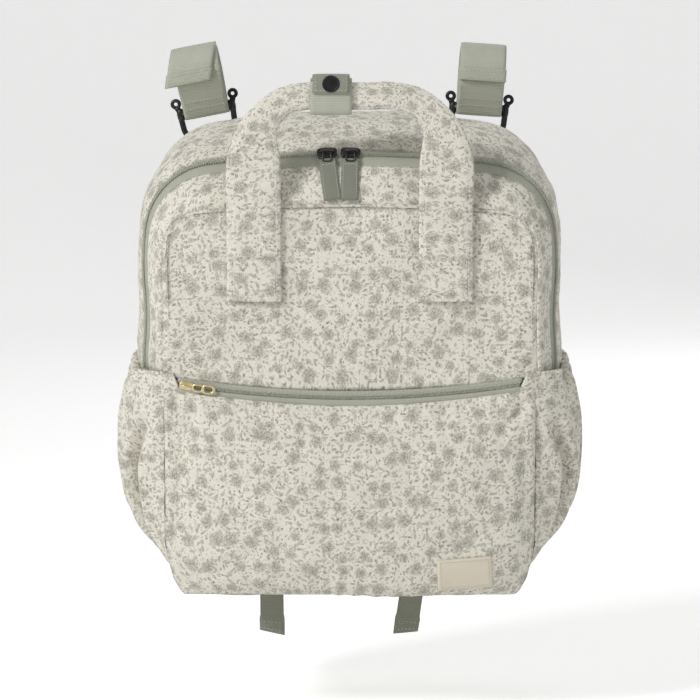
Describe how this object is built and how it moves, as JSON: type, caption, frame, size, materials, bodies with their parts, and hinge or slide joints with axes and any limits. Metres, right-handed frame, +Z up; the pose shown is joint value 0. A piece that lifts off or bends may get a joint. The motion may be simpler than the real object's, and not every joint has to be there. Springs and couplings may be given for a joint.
{
  "type": "diaper bag",
  "caption": "Backpack style diaper bag with a drop-front zip flap, zipped front pocket, open side pockets, tote handles and hooked straps for a stroller handlebar.",
  "frame": {"origin": "middle of the underside of the base", "axes": "+Z up, -Y towards the bag's front, +X to the right seen from the front"},
  "size_m": [0.3792, 0.2078, 0.5056],
  "materials": {
    "print": "matt woven cotton with a small floral print",
    "lining": "thin plain woven lining",
    "foam": "soft padding",
    "board": "stiff sheet",
    "sage": "ribbed sage webbing",
    "coil": "nylon zip coil",
    "elastic": "woven elastic",
    "label": "smooth cream patch with a stitched border",
    "gold": "pale gold plated",
    "black_metal": "black enamelled",
    "black_plastic": "moulded black"
  },
  "bodies": {
    "bag": {"back_foam": "foam", "back_handle_end_left": "print", "back_handle_end_right": "print", "back_panel": "print", "base_board": "board", "d_ring_left": "black_metal", "d_ring_right": "black_metal", "front_pocket": "print", "front_wall": "print", "gusset": "print", "inner_pocket": "lining", "inner_pocket_elastic": "elastic", "label_patch": "label", "lining": "lining", "lower_webbing_left": "sage", "lower_webbing_right": "sage", "pocket_zip_coil": "coil", "pocket_zip_tape_lower": "sage", "pocket_zip_tape_upper": "sage", "ring_tab_left": "sage", "ring_tab_right": "sage", "shell_zip_coil": "coil", "shell_zip_tape": "sage", "side_pocket_elastic_left": "elastic", "side_pocket_elastic_right": "elastic", "side_pocket_left": "print", "side_pocket_right": "print", "webbing_anchor_left": "print", "webbing_anchor_right": "print"},
    "front_flap": {"front_flap": "print", "flap_lining": "lining", "flap_zip_tape": "sage", "flap_zip_coil": "coil", "front_handle_end_left": "print", "front_handle_end_right": "print"},
    "front_handle": {"front_handle": "print", "handle_wrap": "sage"},
    "wrap_leaf": {"wrap_leaf": "sage", "snap_cap": "black_metal"},
    "back_handle": {"back_handle": "print"},
    "pocket_slider": {"pocket_slider": "gold"},
    "pocket_pull": {"pocket_pull": "gold"},
    "main_slider_left": {"main_slider_left": "black_metal"},
    "pull_ribbon_left": {"pull_ribbon_left": "sage"},
    "stroller_hook_left": {"stroller_hook_left": "black_metal"},
    "hook_gate_left": {"hook_gate_left": "black_metal"},
    "stroller_strap_left": {"stroller_strap_left": "sage"},
    "strap_closure_left": {"strap_closure_left": "sage"},
    "shoulder_strap_left": {"shoulder_strap_left": "print", "ladder_lock_left": "black_plastic"},
    "strap_tail_left": {"strap_tail_left": "sage"},
    "main_slider_right": {"main_slider_right": "black_metal"},
    "pull_ribbon_right": {"pull_ribbon_right": "sage"},
    "stroller_hook_right": {"stroller_hook_right": "black_metal"},
    "hook_gate_right": {"hook_gate_right": "black_metal"},
    "stroller_strap_right": {"stroller_strap_right": "sage"},
    "strap_closure_right": {"strap_closure_right": "sage"},
    "shoulder_strap_right": {"shoulder_strap_right": "print", "ladder_lock_right": "black_plastic"},
    "strap_tail_right": {"strap_tail_right": "sage"}
  },
  "joints": [
    {"name": "flap_open", "type": "hinge", "parent": "bag", "child": "front_flap", "pos_m": [0, -0.062, 0.181], "axis": [1, 0, 0], "range_deg": [0, 70]},
    {"name": "front_handle_swing", "type": "hinge", "parent": "front_flap", "child": "front_handle", "pos_m": [0, -0.067, 0.274], "axis": [1, 0, 0], "range_deg": [0, 110]},
    {"name": "wrap_leaf_open", "type": "hinge", "parent": "front_handle", "child": "wrap_leaf", "pos_m": [-0.015, -0.0635, 0.4174], "axis": [-1, 0, 0], "range_deg": [0, 110]},
    {"name": "back_handle_swing", "type": "hinge", "parent": "bag", "child": "back_handle", "pos_m": [0, 0.084, 0.245], "axis": [-1, 0, 0], "range_deg": [0, 100]},
    {"name": "main_slider_left_travel", "type": "hinge", "parent": "front_flap", "child": "main_slider_left", "pos_m": [0, -0.035, -0.58403], "axis": [0, -1, 0], "range_deg": [0, 4.86]},
    {"name": "main_slider_right_travel", "type": "hinge", "parent": "front_flap", "child": "main_slider_right", "pos_m": [0, -0.035, -0.58403], "axis": [0, 1, 0], "range_deg": [0, 5.96]},
    {"name": "pull_ribbon_left_swing", "type": "hinge", "parent": "main_slider_left", "child": "pull_ribbon_left", "pos_m": [-0.01842, -0.04078, 0.3512], "axis": [-0.9998, 0, -0.0197], "range_deg": [0, 100]},
    {"name": "pull_ribbon_right_swing", "type": "hinge", "parent": "main_slider_right", "child": "pull_ribbon_right", "pos_m": [0.0005, -0.04078, 0.35138], "axis": [-1, 0, 0.0005], "range_deg": [0, 100]},
    {"name": "pocket_slider_travel", "type": "hinge", "parent": "bag", "child": "pocket_slider", "pos_m": [0, -0.067, 1.03264], "axis": [0, -1, 0], "range_deg": [0, 17.2]},
    {"name": "pocket_pull_swing", "type": "hinge", "parent": "pocket_slider", "child": "pocket_pull", "pos_m": [-0.12606, -0.0694, 0.17065], "axis": [-0.1504, 0, -0.9886], "range_deg": [0, 95]},
    {"name": "stroller_hook_left_swing", "type": "hinge", "parent": "bag", "child": "stroller_hook_left", "pos_m": [-0.114, 0.0915, 0.3505], "axis": [-0.9816, 0, -0.1908], "range_deg": [0, 100]},
    {"name": "hook_gate_left_open", "type": "hinge", "parent": "stroller_hook_left", "child": "hook_gate_left", "pos_m": [-0.11696, 0.094, 0.36572], "axis": [0.9816, 0, 0.1908], "range_deg": [0, 25]},
    {"name": "stroller_strap_left_swing", "type": "hinge", "parent": "stroller_hook_left", "child": "stroller_strap_left", "pos_m": [-0.1211, 0.098, 0.38702], "axis": [-0.9816, 0, -0.1908], "range_deg": [-30, 60]},
    {"name": "strap_closure_left_peel", "type": "hinge", "parent": "stroller_strap_left", "child": "strap_closure_left", "pos_m": [-0.13112, 0.098, 0.43855], "axis": [-0.9816, 0, -0.1908], "range_deg": [0, 110]},
    {"name": "shoulder_strap_left_swing", "type": "hinge", "parent": "bag", "child": "shoulder_strap_left", "pos_m": [-0.024, 0.081, 0.342], "axis": [1, 0, 0], "range_deg": [0, 22]},
    {"name": "strap_tail_left_swing", "type": "hinge", "parent": "shoulder_strap_left", "child": "strap_tail_left", "pos_m": [-0.068, 0.0965, 0.08], "axis": [1, 0, 0], "range_deg": [0, 60]},
    {"name": "stroller_hook_right_swing", "type": "hinge", "parent": "bag", "child": "stroller_hook_right", "pos_m": [0.106, 0.0915, 0.3505], "axis": [-0.9976, 0, 0.0698], "range_deg": [0, 100]},
    {"name": "hook_gate_right_open", "type": "hinge", "parent": "stroller_hook_right", "child": "hook_gate_right", "pos_m": [0.10708, 0.094, 0.36596], "axis": [0.9976, 0, -0.0698], "range_deg": [0, 25]},
    {"name": "stroller_strap_right_swing", "type": "hinge", "parent": "stroller_hook_right", "child": "stroller_strap_right", "pos_m": [0.10859, 0.098, 0.38761], "axis": [-0.9976, 0, 0.0698], "range_deg": [-30, 60]},
    {"name": "strap_closure_right_peel", "type": "hinge", "parent": "stroller_strap_right", "child": "strap_closure_right", "pos_m": [0.11226, 0.098, 0.43998], "axis": [-0.9976, 0, 0.0698], "range_deg": [0, 110]},
    {"name": "shoulder_strap_right_swing", "type": "hinge", "parent": "bag", "child": "shoulder_strap_right", "pos_m": [0.024, 0.081, 0.342], "axis": [1, 0, 0], "range_deg": [0, 22]},
    {"name": "strap_tail_right_swing", "type": "hinge", "parent": "shoulder_strap_right", "child": "strap_tail_right", "pos_m": [0.068, 0.0965, 0.08], "axis": [1, 0, 0], "range_deg": [0, 60]}
  ]
}
